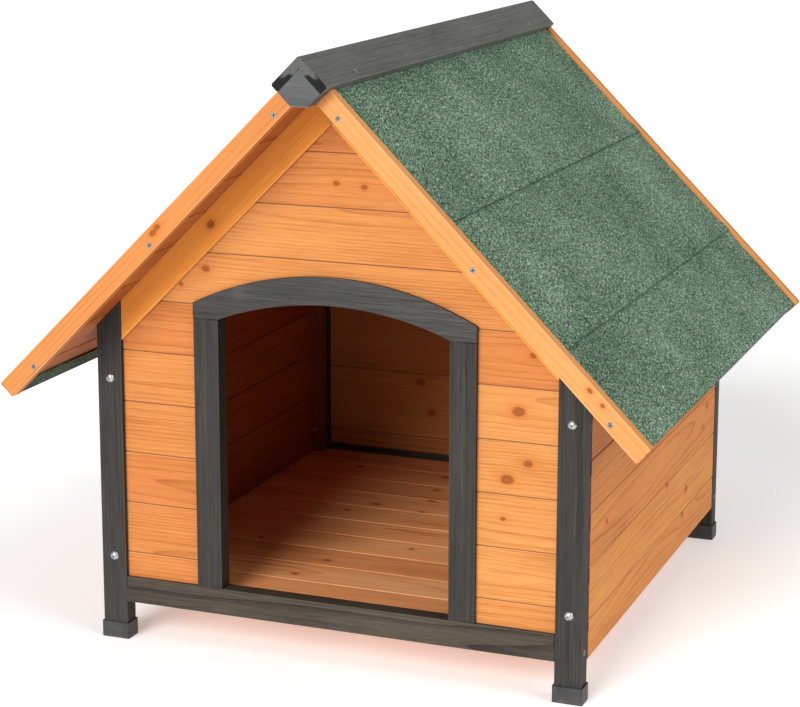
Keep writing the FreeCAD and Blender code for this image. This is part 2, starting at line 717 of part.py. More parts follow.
def build_frame(nodes):
    ends = {"front": (FRONT, 1, True), "rear": (REAR, -1, False)}
    for end, (face, inward, with_door) in ends.items():
        groove = housing(face + inward * FRONT_SETBACK, inward, with_door)
        add_pair(nodes, "post_" + end, post(face, inward).cut(groove))
        nodes["rail_" + end] = bottom_rail(face, inward).cut(groove)
        add_pair(nodes, "rafter_" + end, rafter(face, inward).cut(groove))
        add_pair(nodes, "foot_cap_" + end, foot_cap(face, inward))
        add_pair(nodes, "corner_batten_" + end, corner_batten(face, inward))
        if with_door:
            add_pair(nodes, "door_jamb", jamb().cut(groove))
            nodes["door_header"] = door_header().cut(groove)


def build_walls(nodes):
    face = FRONT + FRONT_SETBACK
    first_joint = lowest_joint(HEADER_JOINT, FRONT_PITCH, RAIL_TOP)
    rows, boards = gable_boards(face, 1, first_joint, FRONT_PITCH)
    left, right, above = front_cladding(rows, boards)
    nodes["front_boards_left"] = group(left)
    nodes["front_boards_right"] = group(right)
    nodes["gable_board_arched"] = above[0]
    for i, board in enumerate(above[1:], start=1):
        nodes["gable_board_upper_%d" % i] = board
    face = REAR - FRONT_SETBACK
    rows, boards = gable_boards(face, -1, RAIL_TOP + REAR_FIRST_COVER, REAR_PITCH)
    nodes["rear_boards"] = group(boards)
    add_pair(nodes, "side_boards", group(side_boards()))


def build_floor(nodes):
    add_pair(nodes, "floor_ledger", ledger())
    boards = floor_boards()
    nodes["floor_board_front"] = boards[0]
    nodes["floor_boards"] = group(boards[1:-1])
    nodes["floor_board_rear"] = boards[-1]
    nodes["floor_battens"] = group(floor_battens())


def build_roof(nodes):
    add_pair(nodes, "roof_deck", group(deck_boards()))
    battens = [roof_batten(FRONT, 1), roof_batten(REAR, -1)]
    add_pair(nodes, "roof_battens", group(battens))
    lower_start = FELT_SEAM_UPPER - FELT_LAP + JOINT_GAP
    eave_start = FELT_SEAM_LOWER - FELT_LAP + JOINT_GAP
    add_pair(nodes, "felt_upper", felt_strip(-FELT_THICKNESS, FELT_SEAM_UPPER))
    add_pair(nodes, "felt_middle", felt_strip(lower_start, FELT_SEAM_LOWER))
    add_pair(nodes, "felt_eave", felt_eave_strip(eave_start))
    back = BARGE_FRONT + BARGE_THICKNESS
    front = BARGE_REAR - BARGE_THICKNESS
    add_pair(nodes, "barge_board_front", barge_board(BARGE_FRONT, back))
    add_pair(nodes, "barge_board_rear", barge_board(front, BARGE_REAR))
    add_pair(nodes, "ridge_board", ridge_board())
    nodes["ridge_block_front"] = ridge_block(RIDGE_FRONT, back)
    nodes["ridge_block_rear"] = ridge_block(front, BARGE_REAR)


def build_fasteners(nodes):
    """Adds the fasteners and returns the holes they need in the timber."""
    nodes["post_bolts"] = group(post_bolts(FRONT, -1) + post_bolts(REAR, 1))
    nodes["bolt_nuts"] = group(post_nuts(FRONT, -1) + post_nuts(REAR, 1))
    holes = bolt_holes(FRONT, -1) + bolt_holes(REAR, 1)
    spots = barge_screw_spots(BARGE_FRONT, -1) + barge_screw_spots(BARGE_REAR, 1)
    nodes["barge_screws"] = group(screws_at(spots, BARGE_SCREW_LENGTH))
    holes += screw_holes_at(spots, BARGE_SCREW_LENGTH)
    spots = slope_screw_spots(ROOF_SCREW_S, 0.0)
    nodes["roof_screws"] = group(screws_at(spots, ROOF_SCREW_LENGTH))
    holes += screw_holes_at(spots, ROOF_SCREW_LENGTH)
    spots = slope_screw_spots(RIDGE_SCREW_S, -RIDGE_THICKNESS)
    nodes["ridge_screws"] = group(screws_at(spots, RIDGE_SCREW_LENGTH))
    holes += screw_holes_at(spots, RIDGE_SCREW_LENGTH)
    nodes["rail_screws"] = group(screws_at(rail_screw_spots(), RAIL_SCREW_LENGTH))
    holes += screw_holes_at(rail_screw_spots(), RAIL_SCREW_LENGTH)
    return holes


def build():
    timber = {}
    build_frame(timber)
    build_walls(timber)
    build_floor(timber)
    build_roof(timber)
    metal = {}
    holes = build_fasteners(metal)
    nodes = {name: drilled(shape, holes) for name, shape in timber.items()}
    nodes.update(metal)
    return nodes


os.makedirs("parts", exist_ok=True)
for name, shape in sorted(build().items()):
    shape.exportStep("parts/%s.step" % name)
    closed = all(solid.isValid() and solid.isClosed() for solid in shape.Solids)
    print(name, len(shape.Solids), "solids", "ok" if closed else "OPEN")
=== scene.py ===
# %% [markdown]
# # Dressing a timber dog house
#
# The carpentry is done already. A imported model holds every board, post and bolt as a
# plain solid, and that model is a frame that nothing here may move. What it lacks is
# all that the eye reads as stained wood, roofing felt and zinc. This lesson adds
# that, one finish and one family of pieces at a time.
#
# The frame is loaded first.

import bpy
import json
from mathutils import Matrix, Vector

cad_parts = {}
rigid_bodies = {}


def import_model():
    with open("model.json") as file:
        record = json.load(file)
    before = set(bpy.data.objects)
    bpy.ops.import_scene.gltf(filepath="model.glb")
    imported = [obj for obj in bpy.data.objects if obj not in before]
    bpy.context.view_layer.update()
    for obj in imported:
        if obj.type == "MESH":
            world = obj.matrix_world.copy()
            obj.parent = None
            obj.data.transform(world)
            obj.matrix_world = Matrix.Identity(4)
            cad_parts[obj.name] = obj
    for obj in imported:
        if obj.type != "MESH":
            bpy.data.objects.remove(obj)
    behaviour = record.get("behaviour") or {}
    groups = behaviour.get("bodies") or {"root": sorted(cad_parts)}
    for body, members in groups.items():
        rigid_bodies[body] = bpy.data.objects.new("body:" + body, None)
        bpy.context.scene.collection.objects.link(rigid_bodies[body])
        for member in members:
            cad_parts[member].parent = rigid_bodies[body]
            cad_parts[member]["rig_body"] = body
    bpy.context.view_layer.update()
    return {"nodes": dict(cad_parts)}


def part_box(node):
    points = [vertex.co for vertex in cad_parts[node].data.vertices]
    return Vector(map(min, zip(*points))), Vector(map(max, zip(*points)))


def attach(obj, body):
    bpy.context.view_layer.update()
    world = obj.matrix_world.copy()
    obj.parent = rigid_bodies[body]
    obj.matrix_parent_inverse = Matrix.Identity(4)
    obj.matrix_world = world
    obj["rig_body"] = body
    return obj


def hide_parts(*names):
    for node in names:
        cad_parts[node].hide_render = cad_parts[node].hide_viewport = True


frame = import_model()

# %% [markdown]
# ## The camera
#
# A picture taken from the right place does half the work of a likeness. This house
# is seen from the front and a little to its right, from about three metres away and
# from just above its ridge. The lens is long, so lines that run away from the eye
# converge slowly.
#
# It looks down by almost twelve degrees, which lets the eye see a little of the floor
# through the doorway. The picture is shifted slightly on the film instead of turning
# the lens further, because that frames the house without tilting its posts more.

# %% Place the camera
import math

import bpy
from mathutils import Quaternion, Vector

CAMERA_AT = Vector((1.0679, -2.877, 1.0902))
TURN_LEFT = math.radians(21.105)
LOOK_DOWN = math.radians(11.854)
ROLL = math.radians(0.105)
PICTURE_WIDE, PICTURE_HIGH = 800, 707
FOCAL_PIXELS = 2210.45
AXIS_AT_PIXEL = (402.0, 283.7)

look = Vector((-math.sin(TURN_LEFT) * math.cos(LOOK_DOWN),
               math.cos(TURN_LEFT) * math.cos(LOOK_DOWN),
               -math.sin(LOOK_DOWN)))
lens = bpy.data.cameras.new("camera")
lens.sensor_width = 36
lens.lens = FOCAL_PIXELS / PICTURE_WIDE * lens.sensor_width
lens.shift_x = (PICTURE_WIDE / 2 - AXIS_AT_PIXEL[0]) / PICTURE_WIDE
lens.shift_y = (AXIS_AT_PIXEL[1] - PICTURE_HIGH / 2) / PICTURE_WIDE
camera = bpy.data.objects.new("camera", lens)
camera.rotation_mode = "QUATERNION"
camera.rotation_quaternion = ((-look).to_track_quat("Z", "Y")
                              @ Quaternion((0, 0, 1), ROLL))
camera.location = CAMERA_AT
bpy.context.scene.collection.objects.link(camera)
bpy.context.scene.camera = camera
print("lens", round(lens.lens, 2), "mm, shift", lens.shift_x, lens.shift_y)

# %% [markdown]
# ## Light
#
# A studio gives plain soft light: a white room, and three broad lamps. The room is the
# world's own colour here. Each lamp is a sun with a wide disc, because a sun lights
# the whole floor evenly, and a wide disc gives shadows without a hard edge.
#
# The main lamp stands in front, a little to the left and low. It reaches under the
# roof's overhang. The door lamp has a narrower disc and stands higher, so most of its
# light goes through the doorway on to the cabin's floor, and the cabin's walls stay
# dark. The last lamp stands high on the right. It lifts the felt and the side wall,
# leaves the shade of the eave on the upper boards, and hardly any of it finds the
# doorway.
#
# The view transform is set to Standard, so that a white floor comes out white and
# the stain keeps its strong orange. The exposure is a little down, as a photographer
# sets it to keep the brightest boards from washing out.

# %% Light the studio
ROOM_WHITE = (1.0, 1.0, 1.0, 1.0)
ROOM_STRENGTH = 0.38
EXPOSURE = -0.33
LAMPS = {  # strength, width of its disc in degrees, and where it stands
    "front_lamp": (1.1, 45, Vector((-0.26, -1.0, 0.34))),
    "door_lamp": (2.85, 30, Vector((-0.18, -1.0, 0.57))),
    "side_lamp": (1.65, 40, Vector((1.0, -0.16, 0.80))),
}

scene = bpy.context.scene
scene.view_settings.view_transform = "Standard"
scene.view_settings.exposure = EXPOSURE
world = bpy.data.worlds.new("studio")
world.use_nodes = True
room = world.node_tree.nodes["Background"]
room.inputs["Color"].default_value = ROOM_WHITE
room.inputs["Strength"].default_value = ROOM_STRENGTH
scene.world = world

for lamp_name, (strength, disc, stands_at) in LAMPS.items():
    lamp_data = bpy.data.lights.new(lamp_name, "SUN")
    lamp_data.energy = strength
    lamp_data.angle = math.radians(disc)
    lamp = bpy.data.objects.new(lamp_name, lamp_data)
    lamp.rotation_mode = "QUATERNION"
    lamp.rotation_quaternion = stands_at.to_track_quat("Z", "Y")
    scene.collection.objects.link(lamp)
print("room", ROOM_STRENGTH, "lamps", list(LAMPS))

# %% [markdown]
# ## Arithmetic on sockets
#
# A finish such as stained fir is a small calculation that runs at every point of the
# surface. Node graphs hide such a calculation in wires. Here a socket is wrapped in a
# class of its own, so that `1 - mask` or `ring * 0.4` can be written out, and each
# sign adds one Math node.

# %% A socket that understands arithmetic
class Value:
    """One output socket. Sums and products of it add Math nodes."""

    def __init__(self, finish, socket):
        self.finish, self.socket = finish, socket

    def math(self, operation, *terms):
        return self.finish.node("ShaderNodeMath", {"operation": operation},
                                dict(enumerate(terms)))

    def __add__(self, other):
        return self.math("ADD", self, other)

    def __mul__(self, other):
        return self.math("MULTIPLY", self, other)

    def __sub__(self, other):
        return self.math("SUBTRACT", self, other)

    def __rsub__(self, other):
        return self.math("SUBTRACT", other, self)

    def __truediv__(self, other):
        return self.math("DIVIDE", self, other)

    def __rtruediv__(self, other):
        return self.math("DIVIDE", other, self)

    def __pow__(self, other):
        return self.math("POWER", self, other)

    def size(self):
        return self.math("ABSOLUTE", self)

    def past_whole(self):
        return self.math("FRACT", self)

    def more(self, other):
        return self.math("MAXIMUM", self, other)

    def less(self, other):
        return self.math("MINIMUM", self, other)

    __radd__, __rmul__ = __add__, __mul__


print("made the class", Value.__name__)

# %% [markdown]
# ## One class for a finish
#
# Every other node comes from one method. It takes the node's type, then its
# settings, then the values or links of its sockets, in that order, because some
# settings change which sockets a node has.
#
# The helpers after it name what a finisher thinks in: the place of a point, a noise, a
# field of crystals or grains, a step from one value to another, a mix of two colours.

# %% A finish, built node by node
def paint(red, green, blue):
    """A picture colour from 0 to 255, as the linear colour that a shader wants."""
    return tuple(c / 12.92 if c <= 0.04045 else ((c + 0.055) / 1.055) ** 2.4
                 for c in (red / 255, green / 255, blue / 255)) + (1.0,)


class Finish:
    """One material and its nodes."""

    def __init__(self, name):
        self.material = bpy.data.materials.new(name)
        self.material.use_nodes = True
        self.tree = self.material.node_tree
        self.tree.nodes.clear()

    def node(self, kind, settings=None, inputs=None, output=0):
        made = self.tree.nodes.new(kind)
        for name, setting in (settings or {}).items():
            if name == "stops":
                self.set_stops(made.color_ramp.elements, setting)
            else:
                setattr(made, name, setting)
        for name, value in (inputs or {}).items():
            if isinstance(value, Value):
                self.tree.links.new(value.socket, made.inputs[name])
            else:
                made.inputs[name].default_value = value
        return Value(self, made.outputs[output]) if made.outputs else None

    def set_stops(self, band, stops):
        while len(band) < len(stops):
            band.new(0.5)
        for stop, (position, colour) in zip(band, stops):
            stop.position, stop.color = position, colour

    def parts(self, vector):
        first = self.node("ShaderNodeSeparateXYZ", {}, {"Vector": vector})
        return [Value(self, out) for out in first.socket.node.outputs]

    def join(self, x, y, z):
        return self.node("ShaderNodeCombineXYZ", {}, {"X": x, "Y": y, "Z": z})

    def attribute(self, name, output="Vector"):
        return self.node("ShaderNodeAttribute",
                         {"attribute_type": "GEOMETRY", "attribute_name": name},
                         output=output)

    def here(self):
        """The point's own place in the house, in metres."""
        return self.node("ShaderNodeTexCoord", output="Object")

    def grains(self, at, scale):
        """A number for the grain that a point is in, and the distance to its middle."""
        cell = self.node("ShaderNodeTexVoronoi", {"feature": "F1"},
                         {"Vector": at, "Scale": scale}, output="Color")
        return self.parts(cell)[0], Value(self, cell.socket.node.outputs["Distance"])

    def noise(self, at, scale=1.0, detail=2.0, roughness=0.5):
        return self.node("ShaderNodeTexNoise", {}, {
            "Vector": at, "Scale": scale, "Detail": detail, "Roughness": roughness})

    def step(self, value, start, end):
        """0 at start and 1 at end, smooth between them. End may lie below start."""
        low, high = min(start, end), max(start, end)
        rises = end > start
        return self.node("ShaderNodeMapRange", {"interpolation_type": "SMOOTHSTEP"}, {
            "Value": value, "From Min": low, "From Max": high,
            "To Min": 0.0 if rises else 1.0, "To Max": 1.0 if rises else 0.0})

    def ramp(self, value, stops):
        return self.node("ShaderNodeValToRGB", {"stops": stops}, {"Fac": value})

    def mix(self, first, second, share, blend="MIX"):
        return self.node("ShaderNodeMix", {"data_type": "RGBA", "blend_type": blend},
                         {0: share, 6: first, 7: second}, output=2)

    def surface(self, colour, roughness, height, depth, **constants):
        bump = self.node("ShaderNodeBump", {}, {"Height": height, "Distance": depth})
        shader = self.node("ShaderNodeBsdfPrincipled", {}, {
            "Base Color": colour, "Roughness": roughness, "Normal": bump, **constants})
        self.node("ShaderNodeOutputMaterial", {}, {"Surface": shader})
        return self.material


print("mid grey paint in linear light:", round(paint(128, 128, 128)[0], 3))

# %% [markdown]
# ## Stained timber
#
# Fir is a stack of yearly rings wrapped round a pith. A sawn board cuts through them,
# and what shows on its face is where the cut meets the rings: straight lines near the
# edge of the log, long arches near its middle. An image of grain would have to be
# stretched over each board. A solid texture does what the saw does. The rings are
# worked out in space, round a pith line that lies somewhere below the board, and the
# board's faces and ends cut through them and always agree at the edges.
#
# Each board carries a few numbers of its own on its mesh:
#
# - `place`, where a point lies along, across and through the board, and the last of
#   these counts outwards from the middle of the house
# - `half`, half the board's length, width and thickness
# - `shift`, where the pith lies, and which stretch of the tree the board came from
# - `tint`, how much redder or paler than its neighbours the board is
# - `knot_1` to `knot_4`, where its knots are, and how large
#
# In each yearly ring the pale spring wood darkens slowly towards the summer wood and
# then stops at a crisp line. Round a knot the rings bend aside and the wood turns
# more orange, and the knot itself is brown with a darker rim of bark.

# %% The grain of one board
FIBRE_ALONG, FIBRE_ACROSS = 30, 620
STREAK_ALONG, STREAK_ACROSS = 4.0, 300
CLOUD_ALONG, CLOUD_ACROSS = 5, 17
SWAY_ALONG, SWAY_ACROSS = 1.5, 9
SWAY_REACH = 0.020       # how far a ring wanders from a true circle
KNOT_STRETCH = 0.72      # below 1, a knot is longer along the board than across
KNOT_RAGGED = 420        # notches per metre of its outline
HALO_FALL = 0.28         # how fast the bent, orange wood round it fades


def knots_of(finish, along, across):
    """How near a point is to the board's knots, and where its grain line runs.
    A reach is counted in radii of the knot."""
    heart = halo = 0.0
    bent = across
    ragged = finish.noise(finish.join(along, across, 0.0), KNOT_RAGGED, 3) - 0.5
    for number in (1, 2, 3, 4):
        at, over, radius = finish.parts(finish.attribute(f"knot_{number}"))
        aside = across - over
        reach = (((along - at) * KNOT_STRETCH) ** 2 + aside * aside) ** 0.5 / radius
        glow = 1 / (1 + reach * reach * HALO_FALL) ** 2
        rough_reach = reach + ragged * 1.1
        core = finish.step(rough_reach, 1.1, 0.75)
        rim = finish.step(rough_reach, 1.3, 1.0) * finish.step(rough_reach, 0.5, 0.9)
        heart = heart + core * (0.55 + (reach * 2.4).past_whole() * 0.3) + rim * 0.25
        halo = halo + glow
        bent = bent - aside * glow * 0.75
    return heart, halo, bent


def grain_of(finish, spacing):
    """The rings, streaks, fibres and clouds of a board, and its knots."""
    along, across, through = finish.parts(finish.attribute("place"))
    tree, pith_aside, pith_below = finish.parts(finish.attribute("shift"))
    heart, halo, bent = knots_of(finish, along, across)
    x, y, z = along + tree, bent + pith_aside, through + pith_below
    sway = finish.noise(finish.join(x * SWAY_ALONG, y * SWAY_ACROSS, z * SWAY_ACROSS))
    radius = (y * y + z * z) ** 0.5 + (sway - 0.5) * SWAY_REACH
    grain = {
        "ring": (radius / spacing).past_whole() ** 4,
        "streak": finish.noise(finish.join(
            x * STREAK_ALONG, y * STREAK_ACROSS, z * STREAK_ACROSS), detail=4,
            roughness=0.62),
        "fibre": finish.noise(finish.join(
            x * FIBRE_ALONG, y * FIBRE_ACROSS, z * FIBRE_ACROSS), detail=3,
            roughness=0.6),
        "cloud": finish.noise(finish.join(
            x * CLOUD_ALONG, y * CLOUD_ACROSS, z * CLOUD_ACROSS), detail=2),
        "heart": heart, "halo": halo}
    return grain, (along, across, through)


print("fibres", round(1000 / FIBRE_ACROSS, 1), "mm apart,",
      "streaks", round(1000 / STREAK_ACROSS, 1), "mm apart")

# %% [markdown]
# ## From grain to stain
#
# A transparent stain sinks deepest into the soft wood between the rings, and into the
# open pores at a sawn end, so an end comes out darker than a face. Corners are where
# a planed board gets rubbed first, and there the colour thins. Wet stain runs down
# and gathers under a board's lower edge, so every joint between two boards is a dark
# line. The chamfer of the board below it is painted pale, a painted highlight that
# makes a light line beneath the dark one. The side of a board that faces into the
# cabin is painted darker, as painted shade.
#
# Three functions share this work. The first gives the stained wood itself, the second
# adds what happens at edges and joints, with the painted highlight and painted shade,
# and the last puts the finish together. What differs from timber to timber is the
# colours, how strongly each effect shows, and how dull the surface is. The dark grey
# timber is the same fir under a nearly opaque stain.

# %% Make a timber finish
RING_SPACING = 0.0036
CRISP = 0.0003                            # where a worn or sawn border ends
CORNER_WIDTH = 0.0016                     # rubbed strip along a board's long corners
END_DEPTH = 0.0022                        # dark strip round its sawn ends
GROOVE_FROM, GROOVE_TO = 0.0003, 0.0014   # stain in a joint, by depth below the face
# painted highlight on the upper chamfer below each joint, by depth below the face
CHAMFER_DEPTH = 0.0006                    # pale upper chamfer, likewise
HALF_BLEND = 0.001                        # soft border at the middle of a board
SIDE_FROM, SIDE_TO = 0.0010, 0.0004       # narrow sides, by distance from their face
PATCHES_PER_METRE = 45
# painted shade on the side of a board that faces into the cabin
INNER_SHADE = (0.58, 0.38, 0.27, 1.0)
FIBRE_RELIEF = 0.0003
WOOD_SHINE = {"Specular IOR Level": 0.2}


def stained_wood(f, grain, colours, rings, streaks, fibres, clouds):
    """The stain on the open face of a board, with its knots."""
    tint = f.attribute("tint", "Fac")
    depth_of_stain = (0.5 + (grain["ring"] - 0.2) * rings
                      + (grain["streak"] - 0.5) * streaks
                      + (grain["fibre"] - 0.5) * fibres
                      + (grain["cloud"] - 0.5) * clouds)
    stained = f.ramp(depth_of_stain, [(0.12, colours["pale"]), (0.5, colours["middle"]),
                                      (0.9, colours["deep"])])
    stained = f.mix(stained, colours["warm"], tint, "MULTIPLY")
    stained = f.mix(stained, colours["glow"], grain["halo"].less(0.9))
    return f.mix(stained, colours["knot"], (grain["heart"] * 0.85).less(0.85))


def joints_and_ends(f, stained, grain, place, colours, wear, joint_stain_and_highlight, inner_shade, shade):
    """The stain at corners, joints and sawn ends, with a painted highlight under each
    joint and painted shade on the side towards the cabin and on the narrow sides.
    """
    along, across, through = place
    long_half, wide_half, thick_half = f.parts(f.attribute("half"))
    from_side = wide_half - across.size()
    from_face = thick_half - through.size()
    rubbed = f.step(from_side.more(from_face), CORNER_WIDTH, CRISP)
    stained = f.mix(stained, colours["worn"], rubbed * wear * grain["streak"] * 2)
    lower_edge = f.step(across, HALF_BLEND, -HALF_BLEND)
    in_joint = f.step(from_face, GROOVE_FROM, GROOVE_TO)
    pooled = in_joint * (0.6 + lower_edge * 0.4) * joint_stain_and_highlight
    stained = f.mix(stained, colours["end"], pooled)
    # painted highlight: the upper chamfer of the board below each joint is painted pale
    on_chamfer = f.step(from_face, 0.0, CHAMFER_DEPTH)
    painted_highlight = on_chamfer * (1 - lower_edge) * (1 - pooled) * joint_stain_and_highlight
    stained = f.mix(stained, colours["worn"], painted_highlight * grain["streak"])
    patches = f.step(f.noise(f.join(across, through, 0.0), PATCHES_PER_METRE, 3)
                     + across / wide_half * 0.45, 0.45, 0.6)
    sawn = f.step(long_half - along.size(), END_DEPTH, CRISP) * (patches * 0.8 + 0.15)
    stained = f.mix(stained, colours["end"], sawn)
    # painted shade: the half of a board towards the cabin is darkened
    shaded_inner_half = f.step(through, HALF_BLEND, -HALF_BLEND)
    stained = f.mix(stained, INNER_SHADE, shaded_inner_half * inner_shade, "MULTIPLY")
    # painted shade on a board's narrow sides
    narrow = f.step(from_side, SIDE_FROM, SIDE_TO) * shade
    return f.mix(stained, colours["deep"], narrow, "MULTIPLY"), sawn


def timber(name, dullness, rings, streaks, fibres, clouds, wear,
           joint_stain_and_highlight=0.0, inner_shade=0.0, shade=0.0, **colours):
    """A stained board. Wear is for its corners; the joint weight sets the dark joints and
    the painted highlight under them; the cabin-side weight sets the painted shade on the
    side towards the cabin, and shade sets the painted shade on its narrow sides."""
    f = Finish(name)
    grain, place = grain_of(f, RING_SPACING)
    stained = stained_wood(f, grain, colours, rings, streaks, fibres, clouds)
    stained, sawn = joints_and_ends(f, stained, grain, place, colours,
                                    wear, joint_stain_and_highlight, inner_shade, shade)
    roughness = (dullness + (grain["fibre"] - 0.5) * 0.25 + grain["ring"] * 0.06
                 + sawn * 0.2)
    height = grain["fibre"] * 0.6 + grain["cloud"] * 0.5 + grain["heart"] * 0.2
    return f.surface(stained, roughness, height, FIBRE_RELIEF, **WOOD_SHINE)


print("rings", RING_SPACING * 1000, "mm apart")

# %% [markdown]
# ## The timber colours
#
# The boards of the walls are honey orange, and some are pinker than others. The trim
# on the gable is a little lighter and yellower, because it is cut from clearer wood.
# The rafters behind it are the strongest orange, painted brighter as painted light
# that lifts them out of the barge boards' shade. The floor is paler, partly its own
# tone and partly painted light for what falls on it through the doorway. The roof's
# underside is a little darker, and the corner battens are painted dark brown as the
# painted shade inside the cabin. The frame round them is charcoal.
# On its bottom rails more of the brown grain shows through, and the ridge boards, the
# block under them and the door's header are lighter greys.

# %% Mix the timbers
BROWN_KNOT = paint(120, 60, 24)
ORANGE_GLOW = paint(190, 100, 30)
# In each timber, the cabin-side weight paints shade on the side towards the cabin, and the
# joint weight sets the dark joints with the painted highlight beneath them.
honey = timber(
    "honey_boards",
    dullness=0.62, rings=0.32, streaks=0.7, fibres=0.65, clouds=0.6, wear=0.35,
    joint_stain_and_highlight=0.85, inner_shade=0.15,
    pale=paint(217, 153, 90), middle=paint(203, 136, 72), deep=paint(172, 106, 51),
    knot=BROWN_KNOT, glow=ORANGE_GLOW, warm=(0.85, 0.68, 0.62, 1.0),
    worn=paint(236, 182, 126), end=paint(112, 52, 22))
honey_side = timber(
    "honey_side_boards",
    dullness=0.62, rings=0.32, streaks=0.7, fibres=0.65, clouds=0.6, wear=0.35,
    joint_stain_and_highlight=0.95, inner_shade=1.0,
    pale=paint(222, 152, 78), middle=paint(208, 135, 63), deep=paint(176, 104, 44),
    knot=BROWN_KNOT, glow=ORANGE_GLOW, warm=(0.85, 0.68, 0.62, 1.0),
    worn=paint(236, 178, 116), end=paint(112, 52, 22))
trim = timber(
    "honey_trim",
    dullness=0.58, rings=0.22, streaks=0.6, fibres=0.5, clouds=0.5, wear=0.4,
    pale=paint(222, 156, 94), middle=paint(210, 143, 82), deep=paint(184, 116, 60),
    knot=BROWN_KNOT, glow=ORANGE_GLOW, warm=(0.86, 0.72, 0.60, 1.0),
    worn=paint(238, 182, 122), end=paint(140, 76, 36))
# The rafters are painted brighter and more orange than the trim, as painted light against the
# barge boards' shade.
rafter_painted_light = timber(
    "honey_rafters_painted_light",
    dullness=0.58, rings=0.22, streaks=0.6, fibres=0.5, clouds=0.5, wear=0.4,
    pale=paint(250, 184, 92), middle=paint(244, 168, 76), deep=paint(220, 138, 56),
    knot=BROWN_KNOT, glow=ORANGE_GLOW, warm=(0.86, 0.72, 0.60, 1.0),
    worn=paint(250, 190, 120), end=paint(140, 76, 36))
inner = timber(
    "honey_inner",
    dullness=0.6, rings=0.28, streaks=0.7, fibres=0.5, clouds=0.7, wear=0.2,
    joint_stain_and_highlight=0.25, inner_shade=0.45,
    pale=paint(208, 138, 76), middle=paint(194, 122, 62), deep=paint(160, 92, 42),
    knot=BROWN_KNOT, glow=ORANGE_GLOW, warm=(0.85, 0.70, 0.62, 1.0),
    worn=paint(216, 150, 90), end=paint(100, 46, 18))
# The corner battens stand inside the cabin, and their dark brown is painted shade.
corner_painted_shade = timber(
    "honey_corners_painted_shade",
    dullness=0.62, rings=0.28, streaks=0.7, fibres=0.5, clouds=0.7, wear=0.2,
    pale=paint(150, 86, 42), middle=paint(134, 70, 30), deep=paint(102, 48, 18),
    knot=BROWN_KNOT, glow=ORANGE_GLOW, warm=(0.85, 0.70, 0.62, 1.0),
    worn=paint(160, 98, 52), end=paint(70, 32, 14))
# The floor's pale colour is partly its own tone and partly painted light for what falls on it
# through the doorway.
floor_tone_and_light = timber(
    "honey_floor_tone_and_light",
    dullness=0.5, rings=0.36, streaks=1.2, fibres=0.7, clouds=0.9, wear=0.1, joint_stain_and_highlight=0.8,
    pale=paint(252, 192, 134), middle=paint(248, 176, 116), deep=paint(214, 136, 78),
    knot=BROWN_KNOT, glow=ORANGE_GLOW, warm=(0.86, 0.72, 0.66, 1.0),
    worn=paint(250, 184, 124), end=paint(122, 60, 28))
charcoal = timber(
    "charcoal_posts",
    dullness=0.55, rings=0.2, streaks=0.9, fibres=0.8, clouds=0.5, wear=0.5, shade=0.35,
    pale=paint(66, 64, 60), middle=paint(50, 48, 45), deep=paint(32, 29, 26),
    knot=paint(26, 22, 20), glow=paint(42, 37, 33), warm=(0.94, 0.90, 0.86, 1.0),
    worn=paint(88, 85, 79), end=paint(26, 24, 22))
rail_brown = timber(
    "grey_brown_rail",
    dullness=0.55, rings=0.5, streaks=0.9, fibres=0.8, clouds=0.7, wear=0.5,
    pale=paint(84, 74, 62), middle=paint(60, 54, 47), deep=paint(40, 33, 27),
    knot=paint(26, 22, 20), glow=paint(52, 42, 33), warm=(0.94, 0.90, 0.86, 1.0),
    worn=paint(98, 88, 74), end=paint(26, 24, 22))
slate = timber(
    "grey_header",
    dullness=0.55, rings=0.2, streaks=0.9, fibres=0.9, clouds=0.9, wear=0.45,
    pale=paint(79, 78, 76), middle=paint(60, 59, 56), deep=paint(42, 40, 38),
    knot=paint(72, 66, 66), glow=paint(76, 78, 80), warm=(0.96, 0.94, 0.92, 1.0),
    worn=paint(104, 103, 99), end=paint(30, 28, 27))
ridge_grey = timber(
    "grey_ridge",
    dullness=0.6, rings=0.2, streaks=0.75, fibres=0.8, clouds=0.6, wear=0.45,
    pale=paint(110, 111, 107), middle=paint(95, 96, 92), deep=paint(73, 72, 69),
    knot=paint(62, 56, 52), glow=paint(88, 86, 84), warm=(0.96, 0.94, 0.92, 1.0),
    worn=paint(136, 136, 131), end=paint(10, 10, 11))
block_grey = timber(
    "grey_block",
    dullness=0.6, rings=0.06, streaks=0.5, fibres=0.8, clouds=0.8, wear=0.7,
    pale=paint(98, 99, 99), middle=paint(87, 88, 88), deep=paint(70, 70, 70),
    knot=paint(54, 52, 52), glow=paint(76, 76, 78), warm=(0.96, 0.96, 0.97, 1.0),
    worn=paint(134, 135, 134), end=paint(40, 40, 41))
print("timbers:", [m.name for m in (honey, honey_side, trim, rafter_painted_light, inner,
                                  corner_painted_shade, floor_tone_and_light, charcoal, rail_brown,
                                  slate, ridge_grey, block_grey)])

# %% [markdown]
# ## Roofing felt
#
# The felt is a bitumen sheet with crushed green stone rolled into its face. From a
# metre away it reads as a speckle: most grains are mid green, some nearly black where
# bitumen shows between them, and a few catch the light. Cells of a Voronoi texture
# are such grains, each with a colour of its own. Two noises on top group them into
# clumps and clouds, because the grains never spread evenly.
#
# Where a sheet is cut, grains fall off and the black bitumen shows in a ragged line.
# The strip along the eave is folded under, and its underside is painted darker, as
# painted shade.

# %% Make the felt
GRAINS_PER_METRE = 640
CLUMPS_PER_METRE = 360
CLOUDS_PER_METRE = 8
CUT_EDGE, CUT_END = 0.0024, 0.0004    # bare strip along a cut
RAGGED_PER_METRE = 170
RAGGED_REACH = 0.006
RETURN_FROM, RETURN_TO = -0.001, -0.004    # below the middle, felt is folded under
GRAIN_RELIEF = 0.00022


